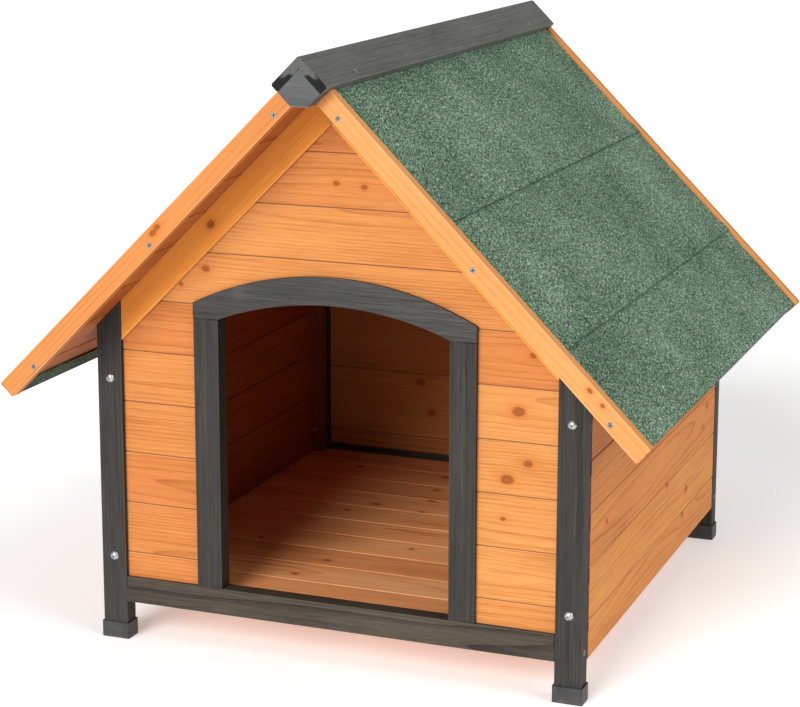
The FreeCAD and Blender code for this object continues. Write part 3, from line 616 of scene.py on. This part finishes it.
def roofing_felt(name):
    f = Finish(name)
    at = f.here()
    grain, off_middle = f.grains(at, GRAINS_PER_METRE)
    clump = f.noise(at, CLUMPS_PER_METRE, 2)
    cloud = f.noise(at, CLOUDS_PER_METRE, 3)
    along, across, through = f.parts(f.attribute("place"))
    long_half, wide_half, _ = f.parts(f.attribute("half"))
    level = 0.47 + (grain - 0.5) * 0.9 + (clump - 0.5) * 1.9 + (cloud - 0.5) * 0.5
    stone = f.ramp(level, [
        (0.0, paint(28, 44, 33)), (0.28, paint(71, 95, 76)), (0.55, paint(93, 120, 97)),
        (0.8, paint(122, 149, 126)), (1.0, paint(176, 198, 178))])
    ragged = (f.noise(at, RAGGED_PER_METRE, 2) - 0.5) * RAGGED_REACH
    edge = (long_half - along.size()).less(wide_half - across.size()) + ragged
    bare = f.step(edge, CUT_EDGE, CUT_END)
    colour = f.mix(stone, paint(38, 44, 38), bare * 0.55)
    # painted shade on the felt folded under the eave
    painted_shade_under = f.step(through, RETURN_FROM, RETURN_TO)
    colour = f.mix(colour, paint(44, 48, 38), painted_shade_under * 0.6)
    roughness = 0.94 - grain * 0.12
    height = (1 - off_middle) * (1 - bare)
    return f.surface(colour, roughness, height, GRAIN_RELIEF,
                     **{"Specular IOR Level": 0.15})


green_felt = roofing_felt("green_felt")
print("felt:", green_felt.name)

# %% [markdown]
# ## Black plastic and zinc
#
# The foot caps are moulded in black plastic with a fine spark texture, and they pick
# up pale scuffs at the bottom edge, where they scrape on paving. The bolts and screws
# are zinc plated. Zinc isn't a mirror: it has a fine crystal spangle, soft brushing,
# and a dull grey bloom in patches. The small screws are duller than the bolts. The
# cross recess, where the driver bites, is painted dark, as painted shade.

# %% Make the plastic and the zinc
SPARKS_PER_METRE = 2600
SPARK_RELIEF = 0.00025
HAZE_PER_METRE = 60
SCUFFS_PER_METRE = 420
SCUFF_TOP = 0.006                 # scuffs reach this far above the paving
CRYSTALS_PER_METRE = 900
BLOOMS_PER_METRE = 240
BRUSH_RATES = (400, 2600, 2600)   # strokes per metre; they run across the house
BRUSH_RELIEF = 0.00006
RECESS_REACH = 0.0027
RECESS_BORDER = 0.0003
RECESS_FROM, RECESS_TO = 0.0002, 0.0008    # depth below the crown of the head


def moulded_plastic(name):
    f = Finish(name)
    at = f.here()
    spark = f.noise(at, SPARKS_PER_METRE, 2)
    haze = f.noise(at, HAZE_PER_METRE, 3)
    height_above = f.parts(at)[2]
    scuff = (f.step(height_above, SCUFF_TOP, 0.0)
             * f.step(f.noise(at, SCUFFS_PER_METRE, 4), 0.5, 0.68))
    colour = f.ramp(haze, [(0.3, paint(34, 34, 35)), (0.7, paint(58, 58, 57))])
    colour = f.mix(colour, paint(120, 118, 112), scuff * 0.7)
    roughness = 0.5 + (haze - 0.5) * 0.3 + scuff * 0.2
    return f.surface(colour, roughness, spark, SPARK_RELIEF)


def zinc_plate(name, shadow, shine, dullness):
    f = Finish(name)
    at = f.here()
    spangle, _ = f.grains(at, CRYSTALS_PER_METRE)
    bloom = f.noise(at, BLOOMS_PER_METRE, 3)
    stretched = [axis * rate for axis, rate in zip(f.parts(at), BRUSH_RATES)]
    brushed = f.noise(f.join(*stretched), 1, 2)
    along, across, through = f.parts(f.attribute("place"))
    below_crown = f.parts(f.attribute("half"))[0] - along.size()
    off_centre = (across * across + through * through) ** 0.5
    # painted shade in the cross recess of a head
    recess_painted_shade = (f.step(off_centre, RECESS_REACH, RECESS_REACH - RECESS_BORDER)
                 * f.step(below_crown, RECESS_FROM, RECESS_TO))
    colour = f.ramp(bloom * 0.6 + spangle * 0.4, [(0.25, shadow), (0.75, shine)])
    colour = f.mix(colour, paint(46, 46, 48), recess_painted_shade * 0.9)
    roughness = dullness + bloom * 0.22 + (brushed - 0.5) * 0.2
    return f.surface(colour, roughness, brushed, BRUSH_RELIEF, Metallic=1.0)


black_plastic = moulded_plastic("black_plastic")
bright_zinc = zinc_plate("bright_zinc", paint(150, 154, 160), paint(222, 223, 222), 0.26)
dull_zinc = zinc_plate("dull_zinc", paint(104, 104, 106), paint(168, 168, 166), 0.42)
print("plastic and zinc made")

# %% [markdown]
# ## Which way the grain runs
#
# A sawyer cuts every stick with its grain along its length, so a board's grain
# follows from what it does in the house. The table below gives, for each family of
# parts, its finish, the direction of its grain, the direction across it, and how far
# its long edges are rounded. The roof leans at 45 degrees, which gives its parts
# directions of their own on each side.
#
# Boards with a tongue and a groove have chamfers already, so they are left as they
# are. Posts, jambs, rails and rafters were planed and their corners eased, which is
# what gives each of them its thin bright line.

# %% Table of the families
ACROSS_HOUSE, ALONG_HOUSE, UPWARD = Vector((1, 0, 0)), Vector((0, 1, 0)), Vector((0, 0, 1))


def downhill(side):
    return Vector((side, 0, -1)).normalized()


def off_roof(side):
    return Vector((side, 0, 1)).normalized()


FAMILIES = [
    # start of the name, finish, grain, across, rounding in metres
    ("post_bolts", bright_zinc, ALONG_HOUSE, UPWARD, 0),
    ("bolt_nuts", bright_zinc, ALONG_HOUSE, UPWARD, 0),
    ("post_", charcoal, UPWARD, ACROSS_HOUSE, 0.0012),
    ("door_jamb", charcoal, UPWARD, ACROSS_HOUSE, 0.0012),
    ("door_header", slate, ACROSS_HOUSE, UPWARD, 0.0012),
    ("rail_screws", dull_zinc, ACROSS_HOUSE, UPWARD, 0),
    ("rail_", rail_brown, ACROSS_HOUSE, UPWARD, 0.0012),
    ("front_boards", honey, ACROSS_HOUSE, UPWARD, 0),
    ("gable_board", honey, ACROSS_HOUSE, UPWARD, 0),
    ("rear_boards", honey, ACROSS_HOUSE, UPWARD, 0),
    ("side_boards", honey_side, ALONG_HOUSE, UPWARD, 0),
    ("corner_batten", corner_painted_shade, UPWARD, ACROSS_HOUSE, 0.0008),
    ("floor_ledger", inner, ALONG_HOUSE, UPWARD, 0.0008),
    ("floor_battens", floor_tone_and_light, ALONG_HOUSE, ACROSS_HOUSE, 0.0008),
    ("floor_board", floor_tone_and_light, ACROSS_HOUSE, ALONG_HOUSE, 0),
    ("rafter_", rafter_painted_light, downhill, off_roof, 0.0010),
    ("barge_board", trim, downhill, off_roof, 0),
    ("barge_screws", dull_zinc, ALONG_HOUSE, UPWARD, 0),
    ("roof_battens", inner, downhill, ALONG_HOUSE, 0.0008),
    ("roof_deck", inner, ALONG_HOUSE, downhill, 0),
    ("roof_screws", dull_zinc, off_roof, ALONG_HOUSE, 0),
    ("ridge_screws", bright_zinc, off_roof, ALONG_HOUSE, 0),
    ("ridge_board", ridge_grey, ALONG_HOUSE, downhill, 0.0020),
    ("ridge_block", block_grey, ACROSS_HOUSE, UPWARD, 0.0010),
    ("foot_cap", black_plastic, UPWARD, ACROSS_HOUSE, 0.0008),
]


def family_of(node):
    """The row of the table for a node."""
    for start, *row in FAMILIES:
        if node.startswith(start):
            return row
    return None


def on_its_side(direction, piece):
    """A direction, worked out for the side of the roof that a piece lies on."""
    side = -1 if sum(v.co.x for v in piece) < 0 else 1
    return direction(side) if callable(direction) else direction


print("families:", len(FAMILIES))

# %% [markdown]
# ## Knots
#
# A knot is where a branch grew, and it makes each board different from the next. The
# knots that show on the front, the right side, the floor and the rear wall are listed.
# Each is a point on one of the faces of the house, given by the two distances that
# matter there, and a radius. Where the face lies is read from the frame, so only what
# can be seen on the face is written down.
#
# The boards' tints are listed in the same way, from 0 for pale to 1 for reddish. A
# board on which nothing is listed gets its tint by chance, from a seed made of its own
# name. On the side and rear walls, the floor and the deck it also gets up to two knots.

# %% List the knots and tints that show
FACES = {  # the axis a face is square to, and where along it the face lies
    "cladding": (1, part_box("front_boards_right")[0].y),
    "rafters": (1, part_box("rafter_front_right")[0].y),
    "header": (1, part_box("door_header")[0].y),
    "barge boards": (1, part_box("barge_board_front_right")[0].y),
    "right side": (0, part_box("side_boards_right")[1].x),
    "floor": (2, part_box("floor_boards")[1].z),
    "rear wall": (1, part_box("rear_boards")[0].y),
}
print("faces at:", {name: round(place, 4) for name, (_, place) in FACES.items()})

KNOTS = {  # two distances and a radius
    "cladding": [(-0.179, 0.521, 0.0040), (-0.215, 0.498, 0.0022), (0.249, 0.372, 0.0060),
                 (0.267, 0.445, 0.0034), (0.262, 0.306, 0.0042), (0.235, 0.283, 0.0060),
                 (0.230, 0.231, 0.0024), (0.005, 0.644, 0.0032), (0.043, 0.641, 0.0032)],
    "rafters": [(-0.168, 0.581, 0.0045)],
    "header": [(-0.129, 0.494, 0.0040)],
    "barge boards": [(-0.211, 0.580, 0.0034), (-0.205, 0.588, 0.0034),
                     (0.364, 0.430, 0.0026), (0.380, 0.413, 0.0022)],
    "right side": [(0.060, 0.170, 0.0040), (0.174, 0.132, 0.0045), (0.154, 0.098, 0.0040),
                   (-0.252, 0.210, 0.0035), (0.294, 0.227, 0.0040), (0.271, 0.200, 0.0030)],
    "floor": [(-0.118, 0.090, 0.0040), (-0.148, 0.046, 0.0030), (-0.040, 0.078, 0.0030),
              (-0.045, 0.135, 0.0040), (-0.086, -0.175, 0.0036), (0.006, -0.088, 0.0026),
              (-0.214, -0.117, 0.0026)],
    "rear wall": [(-0.145, 0.205, 0.0050), (-0.126, 0.155, 0.0045)],
}
TINTS_AND_SHADE = {  # two distances and a tint
    "cladding": [(0.25, 0.450, 0.90), (0.25, 0.380, 0.20), (0.25, 0.300, 0.15),
                 (0.25, 0.240, 0.15), (0.25, 0.170, 0.00), (0.25, 0.105, 0.40),
                 (-0.25, 0.450, 1.00), (-0.25, 0.380, 0.75), (-0.25, 0.300, 0.65),
                 (-0.25, 0.240, 1.00), (-0.25, 0.170, 0.75), (-0.25, 0.105, 0.85),
                 (0.0, 0.700, 0.90), (0.0, 0.650, 0.65), (0.0, 0.580, 0.40),
                 (0.0, 0.530, 0.35)],
    "barge boards": [(0.218, 0.572, 0.00), (-0.218, 0.572, 0.90)],
    "rafters": [(0.150, 0.600, 0.30), (-0.150, 0.600, 0.30)],
    # On the right side the tint rises towards the eave: partly the boards' own tone, partly
    # painted shade of the eave.
    "right side": [(0.0, 0.420, 0.95), (0.0, 0.355, 0.90), (0.0, 0.285, 0.75),
                   (0.0, 0.215, 0.50), (0.0, 0.145, 0.00), (0.0, 0.085, 0.20)],
}
NEAR = 0.003    # how far outside a board's box a listed point may lie


def listed(table, low, high):
    """The points of a table that lie in a board's box, each with its last number."""
    found = []
    for face, rows in table.items():
        axis, place = FACES[face]
        for first, second, number in rows:
            point = [first, second]
            point.insert(axis, place)
            if all(low[k] - NEAR <= point[k] <= high[k] + NEAR for k in range(3)):
                found.append((Vector(point), number))
    return found


print("knots listed:", sum(len(rows) for rows in KNOTS.values()),
      "tints listed:", sum(len(rows) for rows in TINTS_AND_SHADE.values()))

# %% [markdown]
# ## Dressing one part
#
# A node of the frame is a shell of loose triangles. A copy of it is merged into a
# closed shell, and flat neighbours are joined into whole faces. Then its long outer
# edges can be rounded like the edge of a planed board. Faces that meet gently are
# shaded as one curve, and a weighted normal keeps the large flats flat.
#
# Last, each board in the part gets its numbers for the grain. A part often holds
# several boards, so the shell is first sorted into its separate pieces.

# %% Helpers for a part
import random

import bmesh

SAME_POINT = 1e-6
FLAT = math.radians(0.5)
SHARP = math.radians(40)
SHORTEST_ROUNDED = 0.004
STEEPEST = math.radians(60)    # between the grain and an edge that still runs with it


def merged_copy(node):
    """A closed shell with whole faces, made from a node's loose triangles."""
    shell = bmesh.new()
    shell.from_mesh(frame["nodes"][node].data)
    bmesh.ops.remove_doubles(shell, verts=shell.verts, dist=SAME_POINT)
    bmesh.ops.dissolve_limit(shell, verts=shell.verts, edges=shell.edges,
                             angle_limit=FLAT)
    return shell


def runs_with(edge, grain):
    """Whether an edge runs more or less along the grain."""
    along = (edge.verts[1].co - edge.verts[0].co).normalized()
    return abs(along.dot(grain)) > math.cos(STEEPEST)


def round_edges(shell, width, grain):
    """Rounds the long outer edges, and leaves sawn ends crisp. No grain: all edges."""
    edges = [e for e in shell.edges
             if e.is_manifold and e.is_convex and e.calc_face_angle() > SHARP
             and e.calc_length() > SHORTEST_ROUNDED
             and (grain is None or runs_with(e, grain))]
    bmesh.ops.bevel(shell, geom=edges, offset=width, offset_type="OFFSET",
                    affect="EDGES", segments=2, profile=0.5, clamp_overlap=True,
                    material=-1)


def separate_pieces(shell):
    """The shell's vertices, sorted into lists that hang together."""
    pieces, seen = [], set()
    for start in shell.verts:
        if start in seen:
            continue
        seen.add(start)
        piece, waiting = [], [start]
        while waiting:
            vertex = waiting.pop()
            piece.append(vertex)
            for edge in vertex.link_edges:
                other = edge.other_vert(vertex)
                if other not in seen:
                    seen.add(other)
                    waiting.append(other)
        pieces.append(piece)
    return pieces


def smooth_curves(shell):
    """Smooth shading, broken at sharp edges."""
    for face in shell.faces:
        face.smooth = True
    for edge in shell.edges:
        edge.smooth = not (len(edge.link_faces) == 2
                           and edge.calc_face_angle() > SHARP)


print("edges count as sharp from", round(math.degrees(SHARP)), "degrees")

# %% [markdown]
# ## Numbers for the grain
#
# The pith lies between 15 and 70 mm below the board and up to 70 mm to one side. A
# board close to the pith shows arches, and one far from it shows straight lines. Short
# sticks get no knot by chance, because a carpenter cuts them from between two knots.

# %% Write the grain numbers
MOST_KNOTS = 4
NO_KNOT = (50.0, 0.0, 0.001)     # so far along that it never shows
TREE_LENGTH = 9
PITH_ASIDE = 0.07
PITH_NEAREST, PITH_FARTHEST = 0.015, 0.07
SMALLEST_KNOT, LARGEST_KNOT = 0.0018, 0.0048
SHORT_HALF = 0.05


def chance_knots(chance, half):
    """None, one or two knots, clear of the ends and the edges of a board."""
    return [(chance.uniform(-0.9, 0.9) * half[0], chance.uniform(-0.6, 0.6) * half[1],
             chance.uniform(SMALLEST_KNOT, LARGEST_KNOT))
            for _ in range(chance.choice((0, 0, 1, 2)))]


def axes_of(piece, grain, across):
    """Along the grain, across it, and through the board away from the house's middle."""
    run, over = on_its_side(grain, piece), on_its_side(across, piece)
    outwards = run.cross(over)
    if sum(v.co.dot(outwards) for v in piece) < 0:
        outwards = -outwards
    return run, over, outwards


def mark_boards(shell, node, grain, across, with_knots):
    """Writes place, half, shift, tint and the knots on every vertex."""
    names = ["place", "half", "shift"] + [f"knot_{k + 1}" for k in range(MOST_KNOTS)]
    vectors = [shell.verts.layers.float_vector.new(name) for name in names]
    tint_layer = shell.verts.layers.float.new("tint")
    pieces = separate_pieces(shell)
    for number, piece in enumerate(pieces):
        chance = random.Random(f"{node} {number}")
        axes = axes_of(piece, grain, across)
        spans = [(min(v.co.dot(a) for v in piece), max(v.co.dot(a) for v in piece))
                 for a in axes]
        middle = [(start + end) / 2 for start, end in spans]
        half = Vector([(end - start) / 2 for start, end in spans])
        shift = Vector((chance.uniform(0, TREE_LENGTH),
                        chance.uniform(-PITH_ASIDE, PITH_ASIDE),
                        chance.uniform(PITH_NEAREST, PITH_FARTHEST)))
        low = [min(v.co[k] for v in piece) for k in range(3)]
        high = [max(v.co[k] for v in piece) for k in range(3)]
        tints = listed(TINTS_AND_SHADE, low, high)
        tint = tints[0][1] if tints else chance.uniform(0.2, 0.9)
        knots = [(point.dot(axes[0]) - middle[0], point.dot(axes[1]) - middle[1], radius)
                 for point, radius in listed(KNOTS, low, high)[:MOST_KNOTS]]
        if with_knots and not knots and half[0] > SHORT_HALF:
            knots = chance_knots(chance, half)
        knots += [NO_KNOT] * (MOST_KNOTS - len(knots))
        for vertex in piece:
            place = [vertex.co.dot(a) - m for a, m in zip(axes, middle)]
            for layer, numbers in zip(vectors, [place, half, shift] + knots):
                vertex[layer] = Vector(numbers)
            vertex[tint_layer] = tint
    return len(pieces)


print("a board has room for", MOST_KNOTS, "knots")

# %% [markdown]
# ## Put a part in place
# The new piece hides the node that it stands for, and rides on the same body.

# %% Place a piece
def place_piece(shell, name, node, finish):
    """Turns a shell into an object that stands for a node."""
    mesh = bpy.data.meshes.new(name)
    shell.to_mesh(mesh)
    shell.free()
    mesh.materials.append(finish)
    piece = bpy.data.objects.new(name, mesh)
    scene.collection.objects.link(piece)
    weighted = piece.modifiers.new("flat faces stay flat", "WEIGHTED_NORMAL")
    weighted.keep_sharp = True
    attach(piece, frame["nodes"][node]["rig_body"])
    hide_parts(node)
    return piece


# %% [markdown]
# ## Dress the timber, the caps and the fasteners
#
# Everything but the felt goes through the same steps. Knots by chance are for the
# side and rear walls, the floor and the deck. Trim and frame are cut from clear wood.
# The share of its volume that a part keeps shows how little its rounded edges take off.

# %% Dress them
KNOTTY = ("rear_boards", "side_boards", "floor_board", "roof_deck")
dressed = {}
for node in sorted(frame["nodes"]):
    family = family_of(node)
    if family is None:
        continue
    finish, grain, across, rounding = family
    shell = merged_copy(node)
    before = shell.calc_volume()
    if rounding:
        way = None if finish is black_plastic else on_its_side(grain, shell.verts)
        round_edges(shell, rounding, way)
    kept = shell.calc_volume() / before
    smooth_curves(shell)
    boards = mark_boards(shell, node, grain, across, node.startswith(KNOTTY))
    faces = len(shell.faces)
    open_edges = sum(1 for e in shell.edges if not e.is_manifold)
    dressed[node] = place_piece(shell, f"{node}_finished", node, finish)
    print(f"{node:26} boards {boards} faces {faces} open {open_edges} volume kept {kept:.4f}")

# %% [markdown]
# ## Lay the felt
#
# Felt is a heavy sheet, but it is still a sheet: it lies on the boards in very
# shallow waves. Each strip is cut into small squares with planes, and the squares'
# corners move up and down by a smooth noise of a third of a millimetre. The wave dies
# out towards the strip's edges, where it is nailed or lapped. The width of a strip as
# a flat sheet counts its lap over the next one and, at the eave, the return below.

# %% Lay the felt strips
from mathutils import noise

SQUARE = 0.022
WAVE_HEIGHT = 0.00035
WAVES_PER_METRE = 11
FADE = 0.030
FACES_UP = 0.8           # how squarely a vertex of the upper face looks off the roof
STRIP_WIDTHS = {"felt_upper": 0.260, "felt_middle": 0.220, "felt_eave": 0.223}


def cut_in_squares(shell, directions):
    """Cuts a shell with planes at even steps along each direction."""
    for direction in directions:
        reach = [v.co.dot(direction) for v in shell.verts]
        start, end = min(reach), max(reach)
        steps = int((end - start) / SQUARE)
        for number in range(1, steps):
            at = direction * (start + number * (end - start) / steps)
            whole = list(shell.verts) + list(shell.edges) + list(shell.faces)
            bmesh.ops.bisect_plane(shell, geom=whole, dist=SAME_POINT, plane_co=at,
                                   plane_no=direction)


def wave(shell, outward, downhill_way):
    """Moves the upper face by a smooth noise that fades at the strip's edges."""
    ends = [v.co.dot(ALONG_HOUSE) for v in shell.verts]
    slopes = [v.co.dot(downhill_way) for v in shell.verts]
    front, rear, top, eave = min(ends), max(ends), min(slopes), max(slopes)
    for vertex in shell.verts:
        if vertex.normal.dot(outward) < FACES_UP:
            continue
        y, s = vertex.co.dot(ALONG_HOUSE), vertex.co.dot(downhill_way)
        margin = min(y - front, rear - y, s - top, eave - s)
        lift = noise.noise(vertex.co * WAVES_PER_METRE)
        vertex.co += outward * lift * WAVE_HEIGHT * min(1.0, margin / FADE)


for strip, width in STRIP_WIDTHS.items():
    for side_name, side in (("left", -1), ("right", 1)):
        node = f"{strip}_{side_name}"
        shell = merged_copy(node)
        cut_in_squares(shell, (ALONG_HOUSE, downhill(side)))
        shell.normal_update()
        wave(shell, off_roof(side), downhill(side))
        smooth_curves(shell)
        mark_boards(shell, node, ALONG_HOUSE, downhill, False)
        faces = len(shell.faces)
        piece = place_piece(shell, f"{node}_sheet", node, green_felt)
        dressed[node] = piece
        print(node, "faces", faces)
print("nodes dressed:", len(dressed), "of", len(frame["nodes"]))

# %% [markdown]
# ## The floor of the studio
#
# A plain pale floor, so large that its far edge lies beyond the picture. A studio
# lights its white floor from behind as well, so that it comes out clean, and a little
# glow of its own does that here. The floor is part of the stage and not of the house.

# %% Lay the studio floor
FLOOR_REACH = 60
FLOOR_GLOW = 0.34
FLOOR_RELIEF = 0.0002
FLOOR_HAZE_PER_METRE, FLOOR_GRIT_PER_METRE = 1.5, 300
FLOOR_SHADE, FLOOR_PALE = (0.90, 0.90, 0.90, 1.0), (0.93, 0.93, 0.93, 1.0)


def pale_floor(name):
    f = Finish(name)
    at = f.here()
    haze = f.noise(at, FLOOR_HAZE_PER_METRE, 3)
    grit = f.noise(at, FLOOR_GRIT_PER_METRE, 2)
    colour = f.ramp(haze, [(0.3, FLOOR_SHADE), (0.7, FLOOR_PALE)])
    roughness = 0.75 + (haze - 0.5) * 0.1
    return f.surface(colour, roughness, grit, FLOOR_RELIEF,
                     **{"Emission Color": ROOM_WHITE, "Emission Strength": FLOOR_GLOW})


ground = bmesh.new()
bmesh.ops.create_grid(ground, x_segments=1, y_segments=1, size=FLOOR_REACH)
ground_mesh = bpy.data.meshes.new("studio_floor")
ground.to_mesh(ground_mesh)
ground.free()
ground_mesh.materials.append(pale_floor("pale_floor"))
studio_floor = bpy.data.objects.new("studio_floor", ground_mesh)
scene.collection.objects.link(studio_floor)
print("studio floor:", FLOOR_REACH * 2, "m across")

# %% [markdown]
# ## Finish
#
# Dressing must not make the house larger or smaller.

# %% Finish
import json
